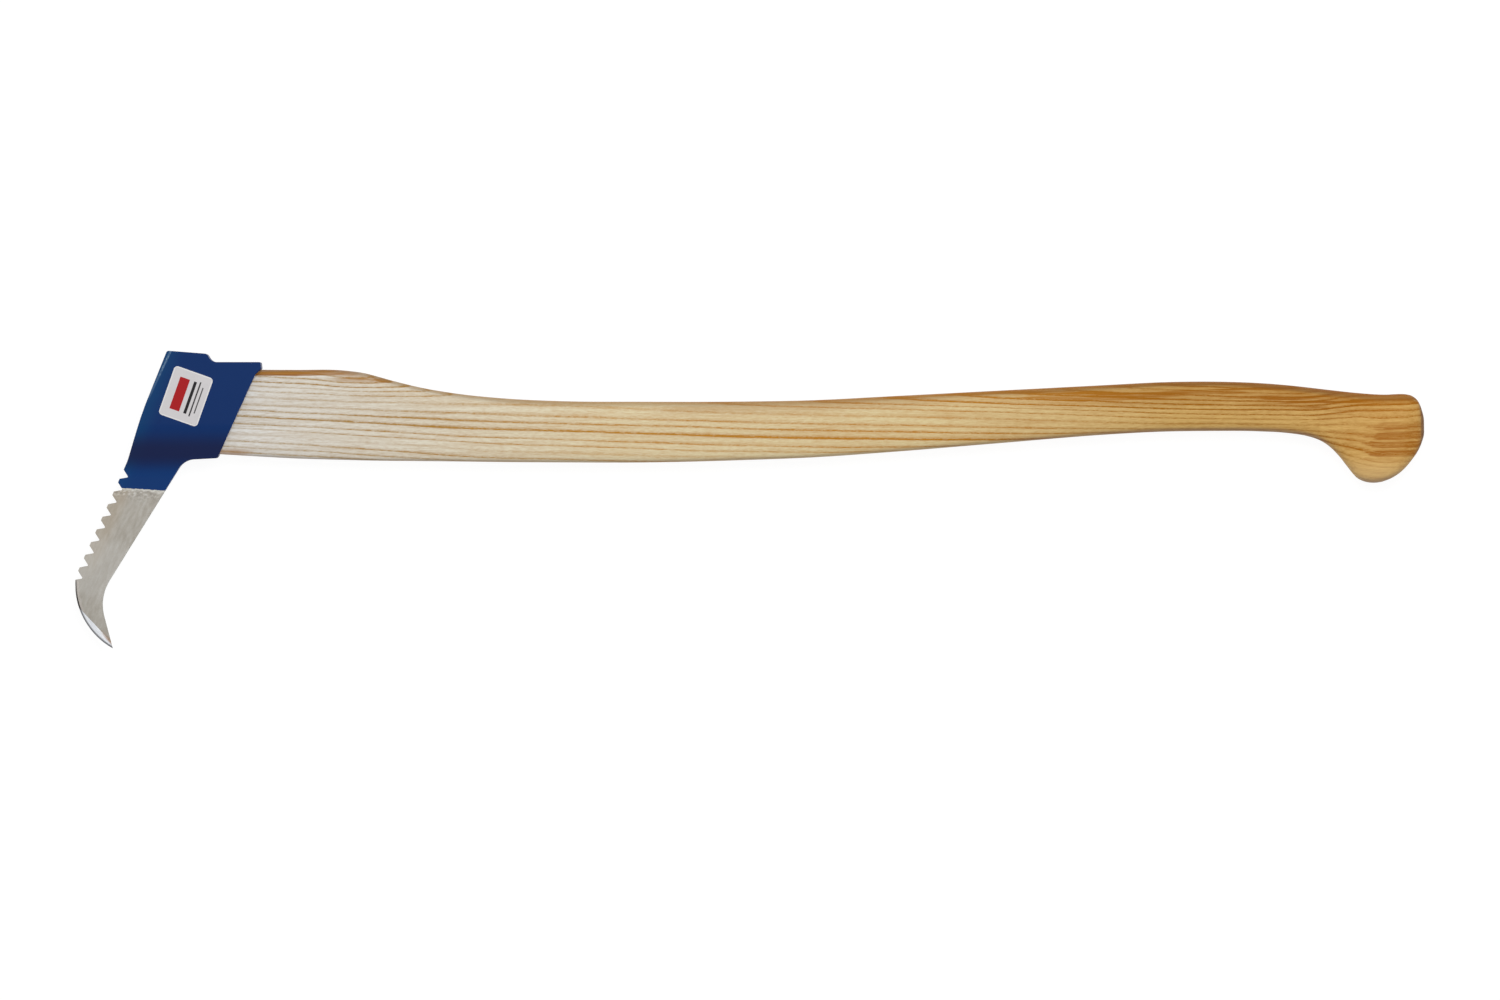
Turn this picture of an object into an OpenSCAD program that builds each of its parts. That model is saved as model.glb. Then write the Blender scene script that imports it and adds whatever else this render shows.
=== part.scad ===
// Sappie: a forestry hand tool for turning and pulling logs, lying on one cheek of its head.
// +X runs along the handle from the head to the knob, +Y away from the hook, +Z out of the upper cheek.
// The origin is the middle of the eye on the lower cheek. Lengths are millimetres and angles are degrees.

/* [Eye and collar] */
// Height of the eye, which the handle's tongue fills
eye_h = 66; // [62:1:72]
// Width of the eye between the cheeks, at its top
eye_w = 30; // [26:0.5:33]
// Share of that width by which the eye narrows down to its foot
eye_draw = 0.3; // [0.2:0.02:0.4]
// Gap all round between the tongue and the eye
eye_fit = 0.05; // [0:0.01:0.1]
// Squareness of the eye, where 2 is an ellipse
eye_square = 5; // [3:0.5:6]
// Thickness of the collar's cheeks beside the eye
cheek_wall = 5; // [4:0.5:8]
// Thickness of the collar over the eye
roof_wall = 5.8; // [4:0.2:9]
// Thickness of the collar under the eye, at the mouth
floor_wall = 3; // [2.5:0.1:6]
// Slope of the collar's underside, falling towards the front
floor_fall = 3; // [0:0.5:6]
// Distance from the origin to the mouth, at the eye's middle
mouth_reach = 36.6; // [30:0.2:50]
// Lean of the mouth from upright
mouth_lean = 24.5; // [15:0.5:28]
// Height of the small lip that closes the mouth at its top
lip_h = 9.5; // [8:0.5:12]
// Reach of that lip past the mouth
lip_reach = 4.5; // [3:0.5:6]

/* [Front and poll] */
// Distance from the origin to the front face, at the eye's middle
front_reach = 38; // [32:0.5:46]
// Lean of the front face above the eye's middle
brow_lean = 21.8; // [16:0.2:26]
// Lean of the front face below the eye's middle
chin_lean = 17.4; // [14:0.2:22]
// Drop from the eye's middle to where the front face meets the line of the teeth
chin_drop = 38; // [30:0.5:42]
// Distance from the origin back to the end of the poll pad
pad_back = 12; // [6:0.5:20]
// Height of the poll pad's rear end over the collar
pad_rise = 6.5; // [4:0.5:10]
// Slope of the poll pad, falling towards the handle
pad_fall = 4.5; // [0:0.5:8]
// Slope of the step behind the poll pad
step_fall = 58; // [40:1:75]
// Width of the ground flats on the front edges, at the top of the poll
brow_flat = 2.2; // [1:0.2:3]
// Distance over the eye's middle at which those flats run out
brow_run_out = 8; // [2:1:20]

/* [Blade] */
// Drop from the eye's middle to the first tooth
tooth_start = 45; // [43:0.5:56]
// Lean of the toothed edge from upright
tooth_lean = 24.3; // [20:0.1:27]
// Number of gullets along the toothed edge
gullets = 9; // [6:1:10]
// Distance from one gullet to the next
tooth_pitch = 10.82; // [9.6:0.02:12]
// Depth of a gullet
gullet_depth = 5.2; // [3:0.1:5.6]
// Angle between the two flanks of a gullet
gullet_angle = 68; // [55:1:72]
// Radius at the root of a gullet
gullet_r = 0.7; // [0.4:0.1:1]
// Width of the blade at the first tooth, measured level
root_w = 42.4; // [36:0.2:46]
// Width of the blade at the last tooth, measured level
throat_w = 26.9; // [24:0.1:31]
// Thickness of the blade where the neck ends
blade_t = 12; // [9:0.5:15]
// Thickness of the blade at its tip, before the bevels
tip_t = 6; // [5:0.2:8]
// Drop from the eye's middle to where the cheeks start to draw in
neck_start = 9; // [6:0.5:12]
// Length of the draw from the cheeks to the blade
neck_l = 43; // [38:0.5:50]
// Radius between the collar's underside and the blade
crotch_r = 14.5; // [8:0.5:20]

/* [Hook] */
// Straight length between the last gullet and the curved back of the hook
heel_land = 4; // [2:0.1:8]
// How far the back of the hook lies inside the line of the teeth
heel_inset = 1; // [0:0.1:1.5]
// Radius of the back of the hook
hook_r = 56.5; // [50:0.5:64]
// Angle that the back of the hook turns through
hook_turn = 61; // [55:1:64]
// Angle of the point, seen from the side
point_angle = 46; // [40:1:52]
// Radius of the throat inside the hook
throat_r = 35.5; // [26:0.5:40]
// Width of the bevel that sharpens the point
bevel_w = 5.3; // [4:0.1:8]
// Direction that the bevel faces, from the middle of the hook's curve
bevel_facing = 223; // [218:1:230]
// Thickness left at the sharpened edge
edge_t = 0.6; // [0.4:0.1:1]

/* [Handle] */
// Length of the handle from the head's front face to the end of the knob
handle_l = 1000; // [900:10:1150]
// How far the tongue's end lies inside the front face
tongue_recess = 0.5; // [0.2:0.1:2]
// Distance from the origin to the end of the full-height wood behind the collar
stock_end = 116; // [105:1:130]
// Length of the wood's slope from there down to the belly
step_l = 234; // [200:1:260]
// Top of the belly above the eye's middle
belly_top = 8; // [4:0.5:12]
// Underside of the belly below the eye's middle
belly_foot = 39.4; // [37:0.2:44]
// Thickness of the belly
belly_t = 31; // [27:0.5:34]
// Squareness of the belly's upper half, where 2 is an ellipse
belly_square_top = 3.2; // [2:0.1:6]
// Squareness of the belly's lower half
belly_square_foot = 5; // [2:0.1:6]
// Top of the grip above the eye's middle
grip_top = 23.7; // [20:0.2:28]
// Underside of the grip below the eye's middle
grip_foot = 14.8; // [12:0.2:18]
// Thickness of the grip
grip_t = 28.5; // [25:0.5:32]
// Squareness of the grip's upper half
grip_square_top = 2.9; // [2:0.1:5]
// Squareness of the grip's lower half
grip_square_foot = 3.3; // [2:0.1:5]
// Distance from the end of the knob back to the thinnest part of the grip
grip_back = 167; // [150:1:190]
// Top of the knob above the eye's middle
knob_top = 13.6; // [10:0.2:18]
// Underside of the knob below the eye's middle
knob_foot = 55.2; // [48:0.2:60]
// Thickness of the knob
knob_t = 38; // [34:0.5:39]
// Squareness of the knob's upper half
knob_square_top = 3; // [2:0.1:5]
// Squareness of the knob's lower half, at its heel
knob_square_foot = 3.8; // [2:0.1:5]

/* [Wedges] */
// Thickness of the wooden wedge at the tongue's end
wedge_t = 5; // [3:0.5:7]
// Thickness of the wooden wedge at its thin end, which is the saw cut's width
wedge_thin = 1.6; // [1:0.1:2.5]
// Length of the wooden wedge
wedge_l = 44; // [30:1:52]
// Length of the open saw cut past the wedge
kerf_rest = 10; // [5:1:12]
// Outside diameter of the steel ring wedge
ring_d = 21; // [16:0.5:23]
// Thickness of the ring wedge at its outer end
ring_wall = 2.4; // [1.6:0.1:3]
// Thickness of the ring wedge at its driven end
ring_thin = 0.8; // [0.6:0.1:1.2]
// Length of the ring wedge
ring_l = 14; // [10:1:18]

/* [Label] */
// Size of the label across
label_w = 31.8; // [26:0.2:34]
// Size of the label along
label_h = 40; // [30:0.5:42]
// Thickness of the label
label_t = 0.25; // [0.15:0.05:0.4]
// Radius of the label's corners
label_r = 3; // [1:0.2:4]
// Turn of the label in line with the front of the head
label_turn = -19.5; // [-24:0.5:-15]
// Distance from the front face back to the label's middle
label_in = 33.9; // [30:0.1:42]
// Distance from the collar's top down to the label's middle
label_drop = 26.6; // [22:0.1:30]

/* [Hidden] */

far = 200;                    // reach of cutting shapes past the work
arc_step = 5;                 // turn between the points of an arc
section_sides = 40;           // points round the handle
ring_gap = 14;                // longest distance between rings along the handle
neck_steps = 16;              // strips in the draw from cheek to blade
head_t = eye_w + 2 * cheek_wall;
mid_z = head_t / 2;           // the tool's middle plane
roof_y = eye_h / 2 + roof_wall;
floor_y = -eye_h / 2 - floor_wall;
butt_x = handle_l - front_reach;

// Corner radii of the head's outline
pad_front_r = 2.2;
pad_rear_r = 3;
step_foot_r = 7.5;
lip_r = 1;
lip_root_r = 3;
mouth_foot_r = 2.8;
front_bend_r = 150;
chin_r = 40;

// Geometry of lines and arcs in a plane
function unit(v) = v / norm(v);
function heading(a) = [cos(a), sin(a)];
function turned(v, a) = [v.x * cos(a) - v.y * sin(a), v.x * sin(a) + v.y * cos(a)];
function mix(a, b, share) = a + (b - a) * share;

// Crossing of the line through p with heading a and the line through q with heading b
function crossing(p, a, q, b) =
    p + heading(a) * cross(q - p, heading(b)) / cross(heading(a), heading(b));

// The corner b between a and c, rounded to radius r or to what its sides have room for
function rounded_corner(a, b, c, r) =
    r == 0 ? [b] :
    let (u = unit(a - b), v = unit(c - b), half = acos(u * v) / 2,
         reach = min(r / tan(half), norm(a - b) / 2, norm(c - b) / 2),
         centre = b + unit(u + v) * reach * tan(half) / sin(half),
         start = b + u * reach - centre, end = b + v * reach - centre,
         turn = (180 - 2 * half) * sign(cross(start, end)),
         steps = ceil(abs(turn) / arc_step))
    [for (i = [0 : steps]) centre + turned(start, turn * i / steps)];

// A closed outline from a list of [corner, radius]
function rounded(corners) =
    let (n = len(corners))
    [for (i = [0 : n - 1])
        each rounded_corner(corners[(i + n - 1) % n][0], corners[i][0],
                            corners[(i + 1) % n][0], corners[i][1])];

// Lines of the head, each as a point that it passes
front = [-front_reach, 0];
mouth = [mouth_reach, 0];
front_up = 90 - brow_lean;
front_down = 90 - chin_lean;
mouth_up = 90 - mouth_lean;
pad_rear = [pad_back, roof_y + pad_rise];
pad_front = crossing(front, front_up, pad_rear, -pad_fall);
step_foot = crossing(pad_rear, -step_fall, [0, roof_y], 0);
lip_root = crossing(mouth, mouth_up, [0, roof_y - lip_h], 0);
lip_nose = lip_root + [lip_reach, lip_reach];
mouth_foot = crossing(mouth, mouth_up, [0, floor_y], 0);

// The toothed edge, from the first gullet's upper flank to the last one's lower flank
gullet_sharp = gullet_depth + gullet_r * (1 / sin(gullet_angle / 2) - 1);
gullet_w = 2 * gullet_sharp * tan(gullet_angle / 2);
tooth_line = -90 - tooth_lean;
chin = crossing(front, front_down, [0, -chin_drop], 0);
tooth_top = crossing(chin, tooth_line, [0, -tooth_start], 0);
tooth_run = (gullets - 1) * tooth_pitch + gullet_w;
tooth_end = tooth_top + heading(tooth_line) * tooth_run;
back_top = tooth_top + [root_w, 0];
back_low = tooth_end + [heel_inset + throat_w, 0];
back_line = atan2(back_low.y - back_top.y, back_low.x - back_top.x);
crotch = crossing(mouth_foot, 180 + floor_fall, back_top, back_line);

// The hook
hook_back = [tooth_end.x + heel_inset, tooth_end.y - heel_land];
heel = crossing(hook_back, 90, tooth_top, tooth_line);
hook_centre = hook_back + [hook_r, 0];
point = hook_centre + hook_r * heading(180 + hook_turn);
inner_line = 90 + hook_turn - point_angle;
throat = crossing(point, inner_line, back_top, back_line);
hook_steps = ceil(hook_turn / arc_step);

head_outline = rounded(concat(
    [[pad_front, pad_front_r], [pad_rear, pad_rear_r], [step_foot, step_foot_r],
     [[lip_nose.x - lip_r / 2, roof_y], lip_r], [lip_nose, lip_r], [lip_root, lip_root_r],
     [mouth_foot, mouth_foot_r], [crotch, crotch_r], [throat, throat_r]],
    [for (i = [hook_steps : -1 : 0])
        [hook_centre + hook_r * heading(180 + hook_turn * i / hook_steps), 0]],
    [[heel, 0], [chin, chin_r], [front, front_bend_r]]));

// Half the thickness of the head at height y: full over the cheeks, an ogee down the neck, then a taper
neck_foot_y = -neck_start - neck_l;
function half_t(y) =
    y >= -neck_start ? head_t / 2 :
    y >= neck_foot_y ?
        mix(blade_t / 2, head_t / 2, (1 + cos(180 * (-neck_start - y) / neck_l)) / 2) :
    mix(blade_t / 2, tip_t / 2, (neck_foot_y - y) / (neck_foot_y - point.y));

edge_heights = concat(
    [far, -neck_start],
    [for (i = [1 : neck_steps]) -neck_start - neck_l * i / neck_steps],
    [point.y - 1]);
edge_profile = concat(
    [for (y = edge_heights) [y, half_t(y)]],
    [for (i = [len(edge_heights) - 1 : -1 : 0]) [edge_heights[i], -half_t(edge_heights[i])]]);

// A drawing in Y and Z, run along X from one place to another
module run_along_x(from, to) {
    translate([from, 0, mid_z]) rotate([90, 0, 90]) linear_extrude(to - from) children();
}

// A drawing in X and Z, run along Y to both sides of the eye's middle
module run_along_y(reach) {
    translate([0, 0, mid_z]) rotate([90, 0, 0]) linear_extrude(2 * reach, center = true) children();
}

module edge_on_blank() {
    run_along_x(-far, far) polygon(edge_profile);
}

// A point of an oval section, as [across, up], each from -1 to 1. Its form is
// [squareness of the upper half, squareness of the lower half, share by which the foot is drawn in]
function oval(a, form) =
    let (share = 2 / (sin(a) >= 0 ? form[0] : form[1]),
         up = sign(sin(a)) * pow(abs(sin(a)), share))
    [sign(cos(a)) * pow(abs(cos(a)), share) * (1 - form[2] * (1 - up) / 2), up];

eye_form = [eye_square, eye_square, eye_draw];

// The eye's section in Y and Z, made smaller all round by a gap
function eye_section(gap) =
    [for (k = [0 : section_sides - 1])
        let (p = oval(360 * k / section_sides, eye_form))
        [p[1] * (eye_h / 2 - gap), p[0] * (eye_w / 2 - gap)]];

module gullet() {
    flank = gullet_sharp * 3;
    translate([0, 0, -far / 2])
        linear_extrude(far)
            polygon(rounded([
                [[gullet_sharp - flank, flank * tan(gullet_angle / 2)], 0],
                [[gullet_sharp - flank, -flank * tan(gullet_angle / 2)], 0],
                [[gullet_sharp, 0], gullet_r]]));
}

module toothing() {
    for (i = [0 : gullets - 1])
        translate(tooth_top + heading(tooth_line) * (gullet_w / 2 + i * tooth_pitch))
            rotate([0, 0, -tooth_lean]) gullet();
}

// The two bevels that sharpen the point, drawn across the edge as [distance, height]
module point_bevels() {
    inner = [hook_r - bevel_w, half_t(hook_centre.y + (hook_r - bevel_w) * sin(bevel_facing))];
    outer = [hook_r, edge_t / 2];
    fall = (inner - outer) / bevel_w;
    for (side = [0, 1])
        translate([hook_centre.x, hook_centre.y, mid_z]) mirror([0, 0, side])
            rotate([90, 0, bevel_facing]) linear_extrude(far, center = true)
                polygon([inner + fall * bevel_w, outer - fall * bevel_w,
                         [outer.x + bevel_w, far], [inner.x - bevel_w, far]]);
}

// The ground flats on the front edges beside the poll, which run out just above the eye's middle
module brow_flats() {
    run_out = front + brow_run_out * heading(front_up);
    inset = atan(brow_flat / norm(pad_front - run_out));
    for (side = [0, 1])
        translate([0, 0, mid_z]) mirror([0, 0, side])
            translate([run_out.x, run_out.y, head_t / 2]) rotate([0, 0, front_up - inset])
                rotate([-45, 0, 0]) translate([-far / 2, -far / 2, 0]) cube(far);
}

module head() {
    color("#1f3868") difference() {
        intersection() {
            linear_extrude(head_t) polygon(head_outline);
            edge_on_blank();
        }
        run_along_x(-far, far) polygon(eye_section(0));
        toothing();
        point_bevels();
        brow_flats();
    }
}

// A station of the handle: top and foot as [x, y], thickness, and the section's form
function station(top, foot, t, form) = concat([top.x, top.y, foot.x, foot.y, t], form);
function form_between(a, b, share) = [for (i = [5 : 7]) mix(a[i], b[i], share)];

// Stations between two forms, from rows of [x, share of the top, share of the foot, share of the rest]
function stations_between(a, b, rows) =
    [for (r = rows) station([r[0], mix(a[1], b[1], r[1])], [r[0], mix(a[3], b[3], r[2])],
                            mix(a[4], b[4], r[3]), form_between(a, b, r[3]))];

// The main forms along the handle
tongue_top = eye_h / 2 - eye_fit;
tongue_t = eye_w - 2 * eye_fit;
front_top = crossing(front, front_up, [0, tongue_top], 0) + [tongue_recess, 0];
front_foot = crossing(front, front_down, [0, -tongue_top], 0) + [tongue_recess, 0];
mouth_top = crossing(mouth, mouth_up, [0, tongue_top], 0);
mouth_low = crossing(mouth, mouth_up, [0, -tongue_top], 0);
belly_x = stock_end + step_l;
grip_x = butt_x - grip_back;
tongue_end = station(front_top, front_foot, tongue_t, eye_form);
tongue_mouth = station(mouth_top, mouth_low, tongue_t, eye_form);
belly = station([belly_x, belly_top], [belly_x, -belly_foot], belly_t,
                [belly_square_top, belly_square_foot, 0.04]);
grip = station([grip_x, grip_top], [grip_x, -grip_foot], grip_t,
               [grip_square_top, grip_square_foot, 0]);
knob = station([butt_x, knob_top], [butt_x, -knob_foot], knob_t,
               [knob_square_top, knob_square_foot, 0]);

// The wood leaves the collar at full height, steps down to the belly and rises along the grip
stock_rows = [
    [mix(mouth_top.x, stock_end, 0.5), 0.008, 0.53, 0.1],
    [stock_end, 0.016, 0.67, 0.2],
    [stock_end + step_l * 0.077, 0.104, 0.75, 0.3],
    [stock_end + step_l * 0.162, 0.316, 0.79, 0.45],
    [stock_end + step_l * 0.256, 0.536, 0.82, 0.6],
    [stock_end + step_l * 0.385, 0.744, 0.87, 0.8],
    [stock_end + step_l * 0.538, 0.892, 0.94, 0.9],
    [stock_end + step_l * 0.744, 0.984, 0.985, 1]];
rise_rows = [for (r = [[0.18, 0.01, 0.077], [0.303, 0.076, 0.163], [0.427, 0.255, 0.317],
                       [0.629, 0.554, 0.614], [0.82, 0.834, 0.89], [0.91, 0.965, 0.976]])
    [mix(belly_x, grip_x, r[0]), r[1], r[2], r[0]]];

// Round the knob the stations fan out about its top: rows of
// [top's distance from the end, foot's distance, share of the top, share of the foot, share of the thickness]
knob_rows = [
    [127, 127, 0.129, 0.01, 0.1], [100, 100, 0.356, 0.062, 0.3], [82, 84, 0.564, 0.161, 0.5],
    [69, 74.5, 0.713, 0.302, 0.65], [58, 66.5, 0.832, 0.505, 0.8], [48, 59.5, 0.92, 0.728, 0.92],
    [38, 52.5, 0.99, 0.918, 1], [29, 41.5, 1, 1, 1], [21, 29, 0.96, 0.938, 1],
    [14, 18.5, 1, 0.775, 0.9], [8.5, 10.5, 1.23, 0.552, 0.4], [4, 4, 1.85, 0.292, -0.5],
    [1.2, 1, 2.74, 0.079, -1.9]];
knob_stations = [for (r = knob_rows)
    station([butt_x - r[0], mix(grip[1], knob[1], r[2])], [butt_x - r[1], mix(grip[3], knob[3], r[3])],
            mix(grip_t, knob_t, r[4]), form_between(grip, knob, max(0, 1 - r[0] / 100)))];

handle_stations = concat(
    [tongue_mouth], stations_between(tongue_mouth, belly, stock_rows),
    [belly], stations_between(belly, grip, rise_rows), [grip], knob_stations);

// A smooth run through the stations, whose slope at each comes from its two neighbours
function place(s) = (s[0] + s[2]) / 2;
function slope(i) =
    let (s = handle_stations, n = len(s), a = max(i - 1, 0), b = min(i + 1, n - 1),
         before = place(s[i]) - place(s[a]), after = place(s[b]) - place(s[i]))
    before == 0 ? (s[b] - s[i]) / after :
    after == 0 ? (s[i] - s[a]) / before :
    ((s[b] - s[i]) / after * before + (s[i] - s[a]) / before * after) / (before + after);
function between_stations(i, t) =
    let (a = handle_stations[i], b = handle_stations[i + 1], gap = place(b) - place(a))
    a * (2 * t * t * t - 3 * t * t + 1) + b * (3 * t * t - 2 * t * t * t)
    + slope(i) * gap * (t * t * t - 2 * t * t + t) + slope(i + 1) * gap * (t * t * t - t * t);
handle_run = concat(
    [tongue_end],
    [for (i = [0 : len(handle_stations) - 2])
        let (steps = max(2, ceil((place(handle_stations[i + 1]) - place(handle_stations[i])) / ring_gap)))
        for (k = [0 : steps - 1]) between_stations(i, k / steps)],
    [handle_stations[len(handle_stations) - 1]]);

// The points of one station's ring
function ring_points(s) =
    let (middle = [s[0] + s[2], s[1] + s[3]] / 2, arm = [s[0] - s[2], s[1] - s[3]] / 2)
    [for (k = [0 : section_sides - 1])
        let (p = oval(360 * k / section_sides, [s[5], s[6], s[7]]))
        [middle.x + p[1] * arm.x, middle.y + p[1] * arm.y, mid_z + p[0] * s[4] / 2]];

module handle_blank() {
    n = section_sides;
    rings = len(handle_run);
    polyhedron(
        [for (s = handle_run) each ring_points(s)],
        concat(
            [[for (k = [n - 1 : -1 : 0]) k]],
            [for (i = [0 : rings - 2], k = [0 : n - 1])
                [i * n + k, i * n + (k + 1) % n, (i + 1) * n + (k + 1) % n, (i + 1) * n + k]],
            [[for (k = [0 : n - 1]) (rings - 1) * n + k]]));
}

// The tongue's end face: its middle and the heading of its slope
tongue_face = (front_top + front_foot) / 2;
end_heading = atan2(front_top.y - front_foot.y, front_top.x - front_foot.x);

// The wedge and the saw cut that it spreads, drawn in X and Z as [distance, half thickness]
wedge_from = tongue_face.x;
wedge_grow = (wedge_t - wedge_thin) / 2 / wedge_l;
wedge_head = [wedge_from - wedge_l / 2, wedge_t / 2 + wedge_grow * wedge_l / 2];
wedge_toe = [wedge_from + wedge_l, wedge_thin / 2];
kerf_end = [wedge_toe.x + kerf_rest, wedge_toe.y];
function both_sides(line) =
    concat(line, [for (i = [len(line) - 1 : -1 : 0]) [line[i].x, -line[i].y]]);

// The ring wedge stands square to the tongue's end, at its middle, and may run on past the end
module ring_shape(run_on = 0) {
    bore = ring_d / 2 - ring_wall;
    translate([tongue_face.x, tongue_face.y, mid_z]) rotate([0, 90, end_heading - 90])
        rotate_extrude($fn = 96)
            polygon([[bore, -run_on], [bore + ring_wall, -run_on], [bore + ring_wall, 0],
                     [bore + ring_thin, ring_l], [bore, ring_l]]);
}

module handle() {
    color("#dcc59a") difference() {
        handle_blank();
        run_along_y(eye_h) polygon(both_sides([wedge_head, wedge_toe, kerf_end]));
        ring_shape(ring_wall);
    }
}

module wood_wedge() {
    color("#c9a871") difference() {
        intersection() {
            run_along_y(eye_h) polygon(both_sides([wedge_head, wedge_toe]));
            run_along_x(-far, far) polygon(eye_section(eye_fit));
            linear_extrude(head_t)
                polygon([tongue_face + far * heading(end_heading), tongue_face - far * heading(end_heading),
                         [far, -far], [far, far]]);
        }
        ring_shape(ring_wall);
    }
}

module ring_wedge() {
    color("#9a9a98") ring_shape();
}

// The label follows the cheek, whose lower part has begun to draw in
module label() {
    corner = [label_w / 2, label_h / 2];
    color("#e9e7e2") intersection() {
        translate([label_in - front_reach, roof_y - label_drop, mid_z]) rotate([0, 0, label_turn])
            linear_extrude(head_t)
                polygon(rounded([for (s = [[1, 1], [-1, 1], [-1, -1], [1, -1]])
                    [[corner.x * s.x, corner.y * s.y], label_r]]));
        difference() {
            translate([0, 0, label_t]) edge_on_blank();
            edge_on_blank();
        }
    }
}

head();
handle();
wood_wedge();
ring_wedge();
label();
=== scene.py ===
from math import cos, hypot, pi, radians, sin

import bmesh
import bpy
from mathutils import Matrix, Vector


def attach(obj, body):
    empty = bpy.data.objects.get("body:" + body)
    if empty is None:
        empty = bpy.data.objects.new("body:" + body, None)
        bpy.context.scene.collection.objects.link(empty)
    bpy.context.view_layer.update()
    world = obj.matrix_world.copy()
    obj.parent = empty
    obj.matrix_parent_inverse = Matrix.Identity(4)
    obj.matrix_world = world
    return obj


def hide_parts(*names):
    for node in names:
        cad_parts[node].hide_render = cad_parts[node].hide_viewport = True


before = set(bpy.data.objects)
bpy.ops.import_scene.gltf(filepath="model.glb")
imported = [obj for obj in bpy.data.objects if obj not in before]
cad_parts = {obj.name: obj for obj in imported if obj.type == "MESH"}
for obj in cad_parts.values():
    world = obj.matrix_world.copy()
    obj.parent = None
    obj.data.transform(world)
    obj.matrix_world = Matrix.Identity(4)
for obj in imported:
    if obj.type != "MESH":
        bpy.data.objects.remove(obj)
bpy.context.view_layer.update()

# The drawing, in millimetres: X along the handle, Y away from the hook, Z out of the upper cheek
METRE = 1000
MM = 1 / METRE
CHEEKS = max(vert.co.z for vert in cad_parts["head"].data.vertices) * METRE
MIDDLE = CHEEKS / 2

# The head's front edge, and the flat ground along it beside the poll, where a highlight is painted
FRONT_REACH = 38
FRONT_START = (-FRONT_REACH, 0)
FRONT_HEADING = 90 - 21.8
FLAT_RUN_OUT = 8
FLAT_END = 46
FLAT_WIDTH = 2.2

# A point of the paint's lower edge, and how that edge slopes
PAINT_END = (-54.6, -59.3)
PAINT_END_SLOPE = -0.055

# The upper corner of the toothed edge
TOOTH_CORNER = (-46.4, -45)
TOOTH_HEADING = -90 - 24.3

# The arc of the hook's back, which way the point's facets face, and how far out they start
HOOK_CENTRE = (-34.4, -134.9)
HOOK_RADIUS = 56.5
GROUND_FACING = 223
GROUND_FROM = 51.2

LABEL_CENTRE = (-4.1, 12.2)
LABEL_TURN = -19.5
LABEL_SIZE = (31.8, 40)

HANDLE_LENGTH = 1000
HANDLE_END = HANDLE_LENGTH - FRONT_REACH
KNOB_START = 865


def colour(red, green, blue):
    """A colour from its screen values, as the light values that a shader takes."""
    def light(value):
        share = value / 255
        return share / 12.92 if share <= 0.04045 else ((share + 0.055) / 1.055) ** 2.4
    return light(red), light(green), light(blue), 1.0


def grey(light):
    return light, light, light, 1.0


def heading(degrees):
    return cos(radians(degrees)), sin(radians(degrees))


class Number:
    """A number that varies over a surface. Python's operators on it add Math nodes."""

    def __init__(self, nodes, socket):
        self.nodes = nodes
        self.socket = socket

    def __add__(self, other):
        return self.nodes.math("ADD", self, other)

    def __radd__(self, other):
        return self.nodes.math("ADD", other, self)

    def __sub__(self, other):
        return self.nodes.math("SUBTRACT", self, other)

    def __rsub__(self, other):
        return self.nodes.math("SUBTRACT", other, self)

    def __mul__(self, other):
        return self.nodes.math("MULTIPLY", self, other)

    def __rmul__(self, other):
        return self.nodes.math("MULTIPLY", other, self)

    def __truediv__(self, other):
        return self.nodes.math("DIVIDE", self, other)

    def __rtruediv__(self, other):
        return self.nodes.math("DIVIDE", other, self)

    def __neg__(self):
        return self.nodes.math("MULTIPLY", self, -1)

    def __abs__(self):
        return self.nodes.math("ABSOLUTE", self)


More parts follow.
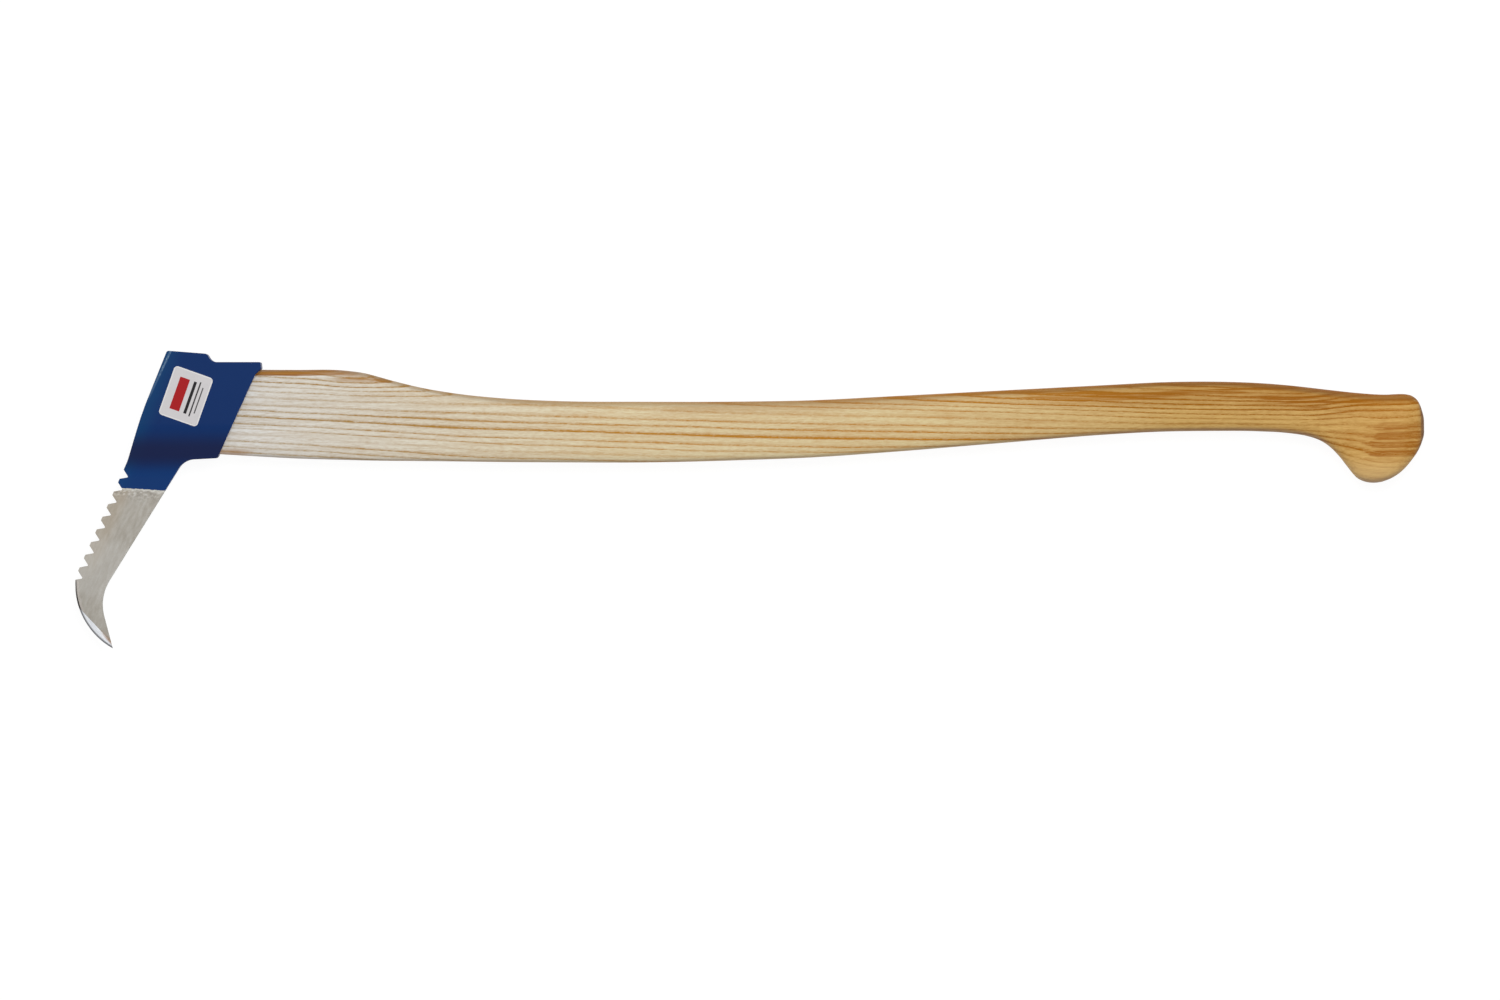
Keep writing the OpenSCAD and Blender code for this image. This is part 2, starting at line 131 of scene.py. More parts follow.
class Nodes:
    """The nodes of one material or world."""

    def __init__(self, owner):
        owner.use_nodes = True
        self.tree = owner.node_tree
        self.tree.nodes.clear()

    def node(self, kind, settings=(), sockets=()):
        """A node with its settings and sockets. A ramp's stops go from place to colour."""
        made = self.tree.nodes.new(kind)
        for name, value in dict(settings).items():
            if name == "stops":
                self.set_stops(made.color_ramp, value)
            else:
                setattr(made, name, value)
        for name, value in dict(sockets).items():
            value = value.socket if isinstance(value, Number) else value
            if isinstance(value, bpy.types.NodeSocket):
                self.tree.links.new(value, made.inputs[name])
            else:
                made.inputs[name].default_value = value
        return made

    def set_stops(self, ramp, stops):
        while len(ramp.elements) < len(stops):
            ramp.elements.new(0.5)
        for element, (place, value) in zip(ramp.elements, stops):
            element.position = place
            element.color = value if isinstance(value, tuple) else grey(value)

    def number(self, socket):
        return Number(self, socket)

    def parts(self, vector):
        """The X, Y and Z of a vector."""
        split = self.node("ShaderNodeSeparateXYZ", sockets={0: vector})
        return [self.number(split.outputs[i]) for i in range(3)]

    def math(self, operation, *values):
        made = self.node("ShaderNodeMath", {"operation": operation}, enumerate(values))
        return self.number(made.outputs[0])

    def smaller(self, a, b):
        return self.math("MINIMUM", a, b)

    def larger(self, a, b):
        return self.math("MAXIMUM", a, b)

    def root(self, value):
        return self.math("SQRT", value)

    def past_whole(self, value):
        """What is left of a number past the whole number below it."""
        return self.math("FRACT", value)

    def rise(self, value, start, end):
        """0 before start, 1 after end, with a smooth step between them, whichever is the lower."""
        low, high = min(start, end), max(start, end)
        step = self.node("ShaderNodeMapRange", {"interpolation_type": "SMOOTHSTEP"},
                         {"Value": value, "From Min": low, "From Max": high,
                          "To Min": 0 if start < end else 1, "To Max": 1 if start < end else 0})
        return self.number(step.outputs["Result"])

    def within(self, value, start, end, soft):
        """1 between start and end, 0 outside them."""
        return self.rise(value, start - soft, start) * self.rise(value, end + soft, end)

    def mix(self, share, a, b):
        """From colour a to colour b by share."""
        made = self.node("ShaderNodeMix", {"data_type": "RGBA"}, {0: share, 6: a, 7: b})
        return made.outputs[2]

    def ramp(self, value, stops):
        made = self.node("ShaderNodeValToRGB", {"stops": stops}, {"Fac": value})
        return made.outputs["Color"]

    def curve(self, value, stops):
        """A number from 0 to 1 that follows stops from place to height."""
        return self.number(self.ramp(value, stops))

    def sees_background(self):
        """1 for what the camera, a reflection or clear glass sees, 0 for light that falls."""
        path = self.node("ShaderNodeLightPath")
        camera, glossy, clear = (self.number(path.outputs[name]) for name in (
            "Is Camera Ray", "Is Glossy Ray", "Is Transmission Ray"))
        return self.smaller(camera + glossy + clear, 1.0)


class Finish(Nodes):
    """A material that reads its piece's Object coordinates, as x, y and z in millimetres."""

    def __init__(self, name):
        self.material = bpy.data.materials.new(name)
        super().__init__(self.material)
        place = self.node("ShaderNodeTexCoord").outputs["Object"]
        self.x, self.y, self.z = (part * METRE for part in self.parts(place))

    def point(self, x, y, z):
        return self.node("ShaderNodeCombineXYZ", sockets={0: x, 1: y, 2: z}).outputs[0]

    def facing(self):
        """How far the surface faces along X, Y and Z, each from -1 to 1."""
        return self.parts(self.node("ShaderNodeTexCoord").outputs["Normal"])

    def noise(self, spacing, detail=2.0, at=None, roughness=0.5):
        """Soft noise from 0 to 1 whose blotches are spacing millimetres apart along X, Y and Z."""
        along = spacing if isinstance(spacing, tuple) else (spacing,) * 3
        source = at or (self.x, self.y, self.z)
        place = self.point(*(part / size for part, size in zip(source, along)))
        made = self.node("ShaderNodeTexNoise", {},
                         {"Vector": place, "Scale": 1.0, "Detail": detail, "Roughness": roughness})
        return self.number(made.outputs[0])

    def past_line(self, start, degrees):
        """Distance to the left of the line that leaves start in a heading."""
        along = heading(degrees)
        return (self.y - start[1]) * along[0] - (self.x - start[0]) * along[1]

    def along_line(self, start, degrees):
        """Distance along the line that leaves start in a heading."""
        along = heading(degrees)
        return (self.x - start[0]) * along[0] + (self.y - start[1]) * along[1]

    def distance(self, centre):
        across, up = self.x - centre[0], self.y - centre[1]
        return self.root(across * across + up * up)

    def bump(self, height, depth):
        """A normal from a height of 0 to 1 that stands for depth millimetres."""
        made = self.node("ShaderNodeBump", {},
                         {"Strength": 1.0, "Distance": depth * MM, "Height": height})
        return made.outputs[0]

    def done(self, shader):
        self.node("ShaderNodeOutputMaterial", {}, {"Surface": shader})
        return self.material

    def surface(self, base, roughness, metallic, normal, specular=0.5):
        """The finished material."""
        made = self.node("ShaderNodeBsdfPrincipled", {},
                         {"Base Color": base, "Roughness": roughness, "Metallic": metallic,
                          "Normal": normal, "Specular IOR Level": specular})
        return self.done(made.outputs[0])


# The blue coat: painted shade in its neck and a lighter foot are bands up the head, and along the flat lie
# a painted highlight and worn flecks that fade down it
COAT = colour(4, 46, 102)
COAT_BY_FRONT = colour(6, 67, 114)
COAT_CLOUD = colour(4, 39, 94)
COAT_NECK_SHADE = colour(24, 30, 67)
COAT_AT_FOOT = colour(10, 62, 124)
COAT_FLAT_HIGHLIGHT = colour(40, 92, 140)
WORN_COAT_AND_HIGHLIGHT = colour(146, 178, 202)
FRONT_GLOW = 16
NECK_BELOW = (-12, -29)
NECK_ABOVE = (-48, -33)
FOOT_OF_COAT = (-39, -50)
FLECKS_ABOVE = (24, 42)


def blue_coat(f):
    """Satin powder coat, lighter by the front edge, with painted shade in the neck, and a painted
    highlight and flecks worn through on the ground flat.
    """
    front_in = -f.past_line(FRONT_START, FRONT_HEADING)
    front_up = f.along_line(FRONT_START, FRONT_HEADING)
    coat = f.mix(f.rise(front_in, FRONT_GLOW, 0) * 0.75, COAT, COAT_BY_FRONT)
    coat = f.mix(f.noise(18) * 0.35, coat, COAT_CLOUD)
    # Painted shade: the coat darkens in the neck, where the cheeks curve in towards the blade
    neck_shade = f.rise(f.y, *NECK_BELOW) * f.rise(f.y, *NECK_ABOVE)
    coat = f.mix(neck_shade * 0.8, coat, COAT_NECK_SHADE)
    coat = f.mix(f.rise(f.y, *FOOT_OF_COAT) * 0.4, coat, COAT_AT_FOOT)

    # Painted highlight along the ground flat by the front edge, with pale flecks of worn coat in its inner
    # line
    past_flat = front_in - (front_up - FLAT_RUN_OUT) * FLAT_WIDTH / (FLAT_END - FLAT_RUN_OUT)
    by_flat = (f.rise(front_up, FLAT_RUN_OUT - 2, FLAT_RUN_OUT + 10)
               * f.rise(f.z, CHEEKS - 4.5, CHEEKS - 2.5))
    highlight_and_worn_line = f.within(past_flat, -0.1, 0.9, 0.5) * by_flat
    flecks = f.rise(f.noise((0.5, 2.2, 2), 3.0, (front_in, front_up, f.z)), 0.48, 0.6)
    coat = f.mix(f.rise(past_flat, 0.8, 0) * by_flat * 0.3, coat, COAT_FLAT_HIGHLIGHT)
    return f.mix(highlight_and_worn_line * (0.14 + flecks * f.rise(front_up, *FLECKS_ABOVE) * 0.5), coat, WORN_COAT_AND_HIGHLIGHT)


# The ground steel: bands across and down the blade, from its toothed edge and that edge's upper corner
STEEL = [(0.28, colour(140, 135, 126)), (0.5, colour(151, 147, 139)), (0.74, colour(163, 161, 155))]
STEEL_SPECKS = colour(134, 130, 124)
STEEL_AT_TEETH = colour(150, 132, 106)
STEEL_LOW_DOWN = colour(171, 169, 165)
# Painted shade for the rounded edges and the sides
STEEL_EDGE_SHADE = colour(92, 88, 80)
BY_TEETH = (10, 1)
TEETH_ABOVE = (96, 66)
LOW_DOWN = (64, 98)


def ground_steel(f, blade_down, blade_in, mottle):
    """Warm satin grey, mottled along the blade and browner at the teeth."""
    steel = f.ramp(mottle, STEEL)
    steel = f.mix(f.noise((1.8, 0.9, 1)) * 0.3, steel, STEEL_SPECKS)
    at_teeth = f.rise(blade_in, *BY_TEETH) * f.rise(blade_down, *TEETH_ABOVE)
    steel = f.mix(at_teeth * 0.25, steel, STEEL_AT_TEETH)
    return f.mix(f.within(blade_down, *LOW_DOWN, 12) * 0.3, steel, STEEL_LOW_DOWN)


# Scale between the coat's end and the full grinding, by the distance below the coat
DARK_SCALE = colour(112, 107, 100)
PALE_SCALE = colour(190, 189, 184)
PAINT_EDGE = colour(178, 177, 171)
DARK_SCALE_ABOVE = (14, 2)
PALE_SCALE_ABOVE = (9, 1)
PAINT_EDGE_ABOVE = (1.7, 0.9)


def scaled_under_coat(f, steel, under_coat):
    """The steel with the scale that the grinding left under the coat."""
    scale = f.noise((2.6, 1.5, 3), 4.0)
    dark = f.rise(scale, 0.52, 0.62) * f.rise(under_coat, *DARK_SCALE_ABOVE)
    pale = f.rise(scale, 0.46, 0.36) * f.rise(under_coat, *PALE_SCALE_ABOVE)
    steel = f.mix(dark * 0.5, steel, DARK_SCALE)
    steel = f.mix(pale * 0.7, steel, PALE_SCALE)
    return f.mix(f.rise(under_coat, *PAINT_EDGE_ABOVE) * 0.7, steel, PAINT_EDGE)


# The hook's back and point, by the distance inside the arc of the back, with painted shade on the back's
# rounded rim and along the facet's edges
RIM_SHADE = colour(44, 41, 39)
BESIDE_RIM = colour(172, 165, 160)
FACET_DARK = colour(212, 216, 222)
FACET_LIGHT = colour(245, 247, 250)
FACET_EDGE_SHADE = colour(117, 118, 121)
FACET_CREASE_SHADE = colour(142, 108, 80)
HEEL_CREASE_SHADE = colour(136, 106, 80)
RIM_INSIDE = (1.45, 0.95)
BESIDE_RIM_INSIDE = (3.4, 2.4)
FACET_EDGE_INSIDE = (2.1, 0.6)
RIM_DARKENS = (-131, -150)


def ground_point(f, steel, facing, ground):
    """The steel with painted shade on the rounded rim of the hook's back, and the bright facets of its
    point with painted shade along their edges.
    """
    inside = HOOK_RADIUS - f.distance(HOOK_CENTRE)
    below_teeth = f.rise(f.y, HOOK_CENTRE[1] + 5, HOOK_CENTRE[1] + 2)
    # Painted shade on the rounded rim of the hook's back, deeper further down the hook
    rim_shade = f.rise(inside, *RIM_INSIDE) * below_teeth * (0.6 + f.rise(f.y, *RIM_DARKENS) * 0.4)
    steel = f.mix(f.rise(inside, *BESIDE_RIM_INSIDE) * below_teeth * 0.4, steel, BESIDE_RIM)
    steel = f.mix(rim_shade, steel, RIM_SHADE)

    beside = f.along_line(HOOK_CENTRE, GROUND_FACING + 90)
    crease_run = f.rise(beside, -2, 12)
    brushing = f.noise((5, 0.9, 3), 3.0, (beside, facing, f.z))
    facet = f.mix(brushing, FACET_DARK, FACET_LIGHT)
    # Painted shade along the facet's outer edge
    facet = f.mix(f.rise(inside, *FACET_EDGE_INSIDE), facet, FACET_EDGE_SHADE)
    # Painted shade along the crease where the facet meets the flat, on the facet and just outside it
    facet = f.mix(f.rise(facing, 2.2, 0.4) * crease_run * 0.85, facet, FACET_CREASE_SHADE)
    steel = f.mix(ground, steel, facet)
    heel = f.rise(facing, -2.4, -0.2) * f.rise(facing, 0.3, 0)
    return f.mix(heel * crease_run * 0.5, steel, HEEL_CREASE_SHADE)


def head_finish():
    """The blue coat down to a ragged line, and below it the ground steel of the blade."""
    f = Finish("blue_coat_and_ground_steel")
    ragged = (f.noise(2.6, 3.0) - 0.5) * 1.5
    under_coat = -(f.y - PAINT_END[1]) + (f.x - PAINT_END[0]) * PAINT_END_SLOPE + ragged
    bare = f.rise(under_coat, -0.12, 0.12)
    facing = f.along_line(HOOK_CENTRE, GROUND_FACING) - GROUND_FROM
    ground = f.rise(facing, -0.1, 0.15)

    blade_down = f.along_line(TOOTH_CORNER, TOOTH_HEADING)
    blade_in = f.past_line(TOOTH_CORNER, TOOTH_HEADING)
    along_blade = (blade_down, blade_in, f.z)
    mottle = f.noise((9, 2.6, 6), 4.0, along_blade, 0.62)
    steel = ground_steel(f, blade_down, blade_in, mottle)
    steel = scaled_under_coat(f, steel, under_coat)
    steel = ground_point(f, steel, facing, ground)

    # Painted shade: rounded edges and the sides between the faces are darkened
    edge_shade = f.rise(abs(f.facing()[2]), 0.98, 0.86)
    steel = f.mix(edge_shade * (1 - ground) * 0.4, steel, STEEL_EDGE_SHADE)

    # The coat stands above the steel, with faint orange peel on it and grinding marks below it
    covered = 1 - bare
    roughness = 0.42 + (bare * (0.04 - ground * 0.12) + (mottle - 0.5) * bare * 0.12)
    orange_peel = f.noise(1.6, 1.0) * covered * 0.02
    grinding = bare * (f.noise((7, 0.5, 0.5), 2.0, along_blade) * 0.012)
    height = orange_peel + grinding + covered * 0.2
    base = f.mix(bare, blue_coat(f), steel)
    return f.surface(base, roughness, bare, f.bump(height, 0.4), specular=0.1)


# The growth rings are shells about a pith that lies beside the handle and far below it
PITH_SIDE = 62
PITH_BELOW = 175
RING_WIDTH = 5.25
RINGS_BELOW = 20.35
NARROW_RINGS_ABOVE = 26
RING_FALL = 0.055
RING_FALL_EASES = 0.000035

# How far the rings wander, with the spacing of that along and across the handle
WANDER = ((260, 40, 5), (60, 9, 1.4), (13, 3, 0.5))

# Each ring starts with a line of open pores, then grows paler and darkens a little before the next
PORE_LINE = [(0, 0.5), (0.05, 0.95), (0.13, 0.8), (0.24, 0.38), (0.46, 0.08), (0.9, 0.12), (1, 0.5)]
BROAD_LINE = [(0, 0.5), (0.08, 0.9), (0.3, 0.75), (0.6, 0.1), (1, 0.5)]

# The wood between the lines and in them, by the share of the handle's length
PALE_WOOD = [(0.05, colour(232, 230, 225)), (0.34, colour(231, 220, 184)),
             (0.6, colour(228, 211, 162)), (0.8, colour(218, 182, 112)),
             (0.97, colour(222, 180, 106))]
DARK_WOOD = [(0.05, colour(166, 132, 72)), (0.34, colour(190, 133, 52)),
             (0.6, colour(188, 124, 36)), (0.8, colour(160, 99, 10)),
             (0.92, colour(158, 95, 10)), (0.96, colour(172, 106, 18))]
PALE_FIBRES = colour(232, 222, 200)

# Brown and pale places on the wood, with painted shade on the upper arris and along the upper and lower
# sides
ARRIS_BROWN_AND_SHADE = colour(174, 116, 38)
ARRIS_LINE = colour(142, 90, 34)
STEP = colour(168, 114, 58)
COLLAR_FOOT = colour(174, 126, 84)
KNOB_PATCH = colour(160, 92, 6)
KNOB_HEEL = colour(232, 202, 148)
SHOULDER = colour(160, 108, 58)
UPPER_LINE_SHADE = colour(108, 88, 62)
LOWER_SIDE_SHADE = colour(134, 106, 92)
END_GRAIN = colour(98, 58, 36)
WEDGE_WOOD = colour(128, 84, 46)

# Stretches of the handle over which the wood changes, each from where it starts to where it is done
CLOSER_TO_HEAD = (260, 20)
CLOSER_TO_KNOB = (520, 860)
LINES_DARKEN = (30, 220)
RINGS_FAN_OUT = (KNOB_START, KNOB_START + 65)
RINGS_FLATTEN = (KNOB_START, KNOB_START + 50)
INTO_KNOB = (KNOB_START - 15, KNOB_START + 45)
INTO_HEEL = (KNOB_START, KNOB_START + 40)
HEART_STARTS = (104, 128)
HEART_LOWER_ON_GRIP = (250, 480)
HEART_LOWER_BY_KNOB = (810, 880)
HEART_SOFTENS = (200, 600)
HEART_BROWNS = (480, 800)
PALER_TO_HEAD = (260, 60)
PALE_FIBRES_TO_HEAD = (700, 300)
ARRIS_ENDS = (136, 112)
STEP_ENDS = (250, 160)
FOOT_ENDS = (52, 34)
HEEL_PALES = (870, 910)
UPPER_LINE_DARKENS = (500, 750)
UPPER_SIDE_STARTS = (110, 170)
UPPER_SIDE_DARKENS = (450, 700)
LOWER_SIDE_STARTS = (30, 60)
LOWER_SIDE_DARKENS = (500, 850)
BUTT_DARKER_THAN_TONGUE = (0, 100)

# Stretches that end again, each with the width of its soft ends
SAG = (128, 180, 40)
HEART_LOWEST = (440, 560, 40)
BROWN_SHOULDER = (400, 560, 60)
PATCH = (924, 962, 7)

# Heights on the handle
FAN_BELOW = (10, -40)
SAG_ABOVE = (4, 27)
HEEL_BELOW = (-6, -24)
PALE_HEEL_BELOW = (-30, -52)
FOOT_BELOW_ARRIS = (-27, -32)
ARRIS_ABOVE = (28.5, 29.3)
ARRIS_LINE_BAND = (28.9, 30, 0.5)
PATCH_BAND = (-33, -12, 6)


class Ash(Finish):
    """Ash that is whitish at the head and honey brown towards the knob, with what its colours share.

    Its rings lie nearly level. They slope down towards the grip and fan out at the knob's heel.
    """

    def __init__(self, name):
        super().__init__(name)
        lengthwise, self.sideways = self.facing()[:2]
        self.end_grain = self.rise(abs(lengthwise), 0.78, 0.96)
        self.in_knob = self.rise(self.x, *INTO_KNOB)
        self.pores = (self.rise(self.noise((5, 0.5, 0.5)), 0.4, 0.6) * 0.55
                      + self.rise(self.noise((1.7, 0.35, 0.35), 1.0), 0.42, 0.6) * 0.45)
        self.fibres = self.noise((34, 1.4, 1.4), 3.0, roughness=0.6)
        self.streaks = self.rise(self.noise((110, 3.4, 3.4), 3.0, roughness=0.6), 0.44, 0.62)
        self.radius = self.from_pith()
        self.ring = self.ring_number()
        self.broad = self.curve(self.past_whole(self.ring), BROAD_LINE)
        self.strength = self.line_strength()
        self.heartwood = self.upper_heartwood()
        self.dark = self.ramp(self.x / HANDLE_END, DARK_WOOD)

    def from_pith(self):
        """Distance from the ring that runs through the eye's middle, away from the pith."""
        wander = sum((self.noise((along, across, across)) - 0.5) * reach
                     for along, across, reach in WANDER)
        fall = self.x * (RING_FALL - self.x * RING_FALL_EASES)
        heel = self.rise(self.x, *RINGS_FAN_OUT) * self.rise(self.y, *FAN_BELOW) * 15
        sag = self.within(self.x, *SAG) * self.rise(self.y, *SAG_ABOVE) * 2.4
        flatter = 1 - self.rise(self.x, *RINGS_FLATTEN) * 0.75
        across = (self.z - MIDDLE) * flatter + PITH_SIDE
        up = self.y + fall + heel + sag + wander + PITH_BELOW
        return self.root(across * across + up * up) - hypot(PITH_SIDE, PITH_BELOW)

    def ring_number(self):
        """Rings counted from the pith's side. Their widths vary, and they are closer at both ends."""
        closer = (1 + self.rise(self.x, *CLOSER_TO_HEAD) * 0.14
                  + self.rise(self.x, *CLOSER_TO_KNOB) * 0.28)
        narrower = self.larger(self.radius - NARROW_RINGS_ABOVE, 0) * 0.35
        even = (self.radius + narrower) * closer / RING_WIDTH + RINGS_BELOW
        return even + (self.noise(400, 0.0, (even * 170, 0, 0)) - 0.5) * 0.8

    def line_strength(self):
        """How dark the ring's line of pores is, ring by ring and along the handle."""
        line = self.curve(self.past_whole(self.ring), PORE_LINE)
        broader = line * (1 - self.in_knob * 0.4) + self.broad * self.in_knob * 0.45
        of_ring = self.noise(1.0, 0.0, (self.math("FLOOR", self.ring) * 7.31, 0, 0))
        in_heel = self.rise(self.x, *INTO_HEEL) * self.rise(self.y, *HEEL_BELOW)
        return (broader * ((of_ring - 0.5) * 2.6 + 0.95) * (0.5 + self.noise((80, 5, 5), 3.0))
                * (0.48 + self.pores * 0.85) * (0.72 + self.rise(self.x, *LINES_DARKEN) * 0.28)
                * (1 - in_heel * 0.35))

    def upper_heartwood(self):
        """Browner wood along the top. It starts lower on the grip and behind the knob."""
        start = (34.5 - self.rise(self.x, *HEART_LOWER_ON_GRIP) * 1.9
                 - self.within(self.x, *HEART_LOWEST) - self.rise(self.x, *HEART_LOWER_BY_KNOB) * 4)
        soft = 0.6 + self.rise(self.x, *HEART_SOFTENS) * 4
        return self.rise((self.radius - start) / soft, -1, 1) * self.rise(self.x, *HEART_STARTS)

    def rings_and_fibres(self):
        """The wood's own pattern."""
        brown_heart = (0.12 + self.rise(self.x, *HEART_BROWNS) * 0.14 + self.fibres * 0.2
                       + self.streaks * 0.42)
        brown = (self.strength + self.heartwood * brown_heart
                 + self.streaks * (0.16 + self.in_knob * 0.06))
        pale = self.ramp(self.x / HANDLE_END, PALE_WOOD)
        wood = self.mix(self.smaller(brown, 1.0), pale, self.dark)
        grain = (self.noise((5, 0.9, 0.9)) - 0.5) * 0.9 + (self.fibres - 0.5) * 0.6
        wood = self.mix(grain + 0.13 - self.rise(self.x, *PALER_TO_HEAD) * 0.06, wood, self.dark)
        pale_fibres = self.rise(self.noise((8, 0.6, 0.6), 1.0), 0.64, 0.74)
        return self.mix(pale_fibres * self.rise(self.x, *PALE_FIBRES_TO_HEAD) * 0.3, wood, PALE_FIBRES)

    def head_marks(self, wood):
        """Brown wood with painted shade along the upper arris, and brown wood in the step behind it and at
        the collar's foot.
        """
        up = self.y + self.fibres * 0.8 + (self.noise((30, 3, 3)) - 0.5) * 1.4
        run = self.rise(self.x, *ARRIS_ENDS)
        streak = self.rise(self.noise((46, 1.1, 1.1)), 0.4, 0.56)
        # Brown wood and painted shade on the upper arris's facet
        arris_and_shade = self.rise(up, *ARRIS_ABOVE) * run
        wood = self.mix(arris_and_shade * (0.66 + streak * 0.3), wood, ARRIS_BROWN_AND_SHADE)
        line = self.within(up, *ARRIS_LINE_BAND) * run
        wood = self.mix(line * (0.3 + streak * 0.45), wood, ARRIS_LINE)
        in_step = self.heartwood * self.rise(self.x, *STEP_ENDS)
        wood = self.mix(in_step * (0.25 + self.streaks * 0.4), wood, STEP)
        at_foot = self.rise(self.y, *FOOT_BELOW_ARRIS) * self.rise(self.x, *FOOT_ENDS)
        return self.mix(at_foot * 0.6, wood, COLLAR_FOOT)

    def knob_marks(self, wood):
        """A striped brown patch with ragged ends in the knob, and paler colour low in its heel."""
        stripes = self.rise(abs(self.past_whole(self.ring * 2 + 0.2) - 0.5), 0.2, 0.34)
        patches = self.rise(self.noise((24, 1.0, 5)), 0.44, 0.56)
        ragged = self.x + (self.noise((12, 1.6, 6)) - 0.5) * 46
        tilted = self.y + (ragged - self.x) * 0.1
        place = self.within(ragged, *PATCH) * self.within(tilted, *PATCH_BAND)
        patch = place * (0.1 + self.broad * 0.15 + stripes * 0.4 + patches * 0.25)
        wood = self.mix(patch * (1 - self.end_grain * 0.7), wood, KNOB_PATCH)
        heel = self.rise(self.y, *PALE_HEEL_BELOW) * self.rise(self.x, *HEEL_PALES)
        return self.mix(heel * 0.4, wood, KNOB_HEEL)

    def darker_sides(self, wood):
        """Painted shade along the narrow upper and lower sides, partly browner wood on top, a brown
        shoulder, and end grain at the butt and on the tongue.
        """
        shoulder = self.rise(self.sideways, 0.05, 0.45) * self.within(self.x, *BROWN_SHOULDER)
        wood = self.mix(shoulder * 0.26, wood, SHOULDER)
        # Painted shade along the upper edge, deeper towards the knob
        line_share = 0.25 + self.rise(self.x, *UPPER_LINE_DARKENS) * 0.25
        wood = self.mix(self.rise(self.sideways, 0.5, 0.85) * line_share, wood, UPPER_LINE_SHADE)
        # Painted shade on the upper side, towards the darker wood colour, partly browner wood there
        upper_side_shade = self.rise(self.sideways, 0.62, 1) * self.rise(self.x, *UPPER_SIDE_STARTS)
        upper_share = 0.55 + self.rise(self.x, *UPPER_SIDE_DARKENS) * 0.3
        wood = self.mix(upper_side_shade * upper_share, wood, self.dark)
        # Painted shade along the lower side, deeper towards the knob
        lower_side_shade = self.rise(self.sideways, -0.55, -1) * self.rise(self.x, *LOWER_SIDE_STARTS)
        lower_share = 0.35 + self.rise(self.x, *LOWER_SIDE_DARKENS) * 0.25
        wood = self.mix(lower_side_shade * lower_share, wood, LOWER_SIDE_SHADE)
        end_pores = self.rise(self.noise(0.7), 0.5, 0.68)
        end_share = 0.25 + self.rise(self.x, *BUTT_DARKER_THAN_TONGUE) * 0.5 + end_pores * 0.25
        return self.mix(self.end_grain * end_share, wood, END_GRAIN)


def ash_finish(name, darker=0.0):
    """Sanded and lightly oiled ash."""
    f = Ash(name)
    wood = f.darker_sides(f.knob_marks(f.head_marks(f.rings_and_fibres())))
    if darker:
        wood = f.mix(darker, wood, WEDGE_WOOD)
    roughness = 0.52 + f.strength * 0.1 - (f.fibres - 0.5) * 0.1
    height = 1 - f.strength * f.pores * 0.5 + f.fibres * 0.12
    return f.surface(wood, roughness, 0.0, f.bump(height, 0.12), specular=0.1)


def wedge_steel_finish():
    """Turned steel ring, darkened where it was struck."""
    f = Finish("struck_ring_steel")
    blotch = f.noise(3.5, 4.0)
    base = f.ramp(blotch, [(0.3, colour(128, 124, 118)), (0.7, colour(176, 174, 168))])
    return f.surface(base, 0.32 + blotch * 0.2, 1.0, f.bump(f.noise(0.8), 0.05))


# What is printed on the label: the start and width of each bar across it, its reach up and down, its ink
PRINT = ((-9, 7.8, 13, colour(170, 20, 24)),
         (2.4, 2.2, 13, colour(30, 29, 32)),
         (6.9, 1.0, 14, colour(58, 56, 58)),
         (10.1, 0.8, 10.5, colour(76, 74, 75)))
PRINT_SOFT = 0.12
FILM = colour(217, 214, 215)
FILM_CLOUD = colour(209, 206, 207)
FILM_EDGE = colour(238, 237, 236)


def label_finish():
    """Printed film: a light ground with a paler edge, a red bar and plain dark rules."""
    f = Finish("printed_label_film")
    across = f.along_line(LABEL_CENTRE, LABEL_TURN)
    up = f.past_line(LABEL_CENTRE, LABEL_TURN)
    film = f.mix(f.noise(7), FILM, FILM_CLOUD)
    edge = f.larger(abs(across) - LABEL_SIZE[0] / 2, abs(up) - LABEL_SIZE[1] / 2)
    film = f.mix(f.rise(edge, -1.2, -0.6) * 0.7, film, FILM_EDGE)
    for start, width, reach, ink in PRINT:
        bar = (f.within(across, start, start + width, PRINT_SOFT)
               * f.within(up, -reach, reach, PRINT_SOFT))
        film = f.mix(bar, film, ink)
    return f.surface(film, 0.42, 0.0, f.bump(f.noise(5), 0.05), specular=0.14)


def merged_copy(node, name):
    """A new piece, and a copy of a CAD node's mesh for it as one closed surface."""
    shape = bmesh.new()
    shape.from_mesh(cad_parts[node].data)
    bmesh.ops.remove_doubles(shape, verts=shape.verts, dist=0.002 * MM)
    bmesh.ops.recalc_face_normals(shape, faces=shape.faces)
    piece = bpy.data.objects.new(name, bpy.data.meshes.new(name))
    bpy.context.scene.collection.objects.link(piece)
    return piece, shape


# Edges that turn further than this stay sharp
SHARP_FROM = 40


def dress(piece, shape, finish, node):
    """Writes a shape to its piece, smooth apart from its sharp edges, in the CAD node's place."""
    for face in shape.faces:
        face.smooth = True
    for edge in shape.edges:
        edge.smooth = len(edge.link_faces) == 2 and edge.calc_face_angle() < radians(SHARP_FROM)
    shape.to_mesh(piece.data)
    shape.free()
    piece.data.materials.append(finish)
    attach(piece, "root")
    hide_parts(node)


# Widths of the forging's rounded edges, which get finer down the neck
COLLAR_EDGE = 1.3
EYE_EDGE = 0.5
BLADE_EDGE = 0.3
BACK_EDGE = 1.3
WIDEST_EDGE = max(COLLAR_EDGE, BACK_EDGE)
NECK_FROM = -9
NECK_TO = -52

# Only edges that turn further than this are rounded
ROUNDED_FROM = 32

# Where the eye's own edges are: up and down the head, and how far in from both cheeks
EYE_EDGES = (-39, 34)
EYE_EDGES_IN = 4


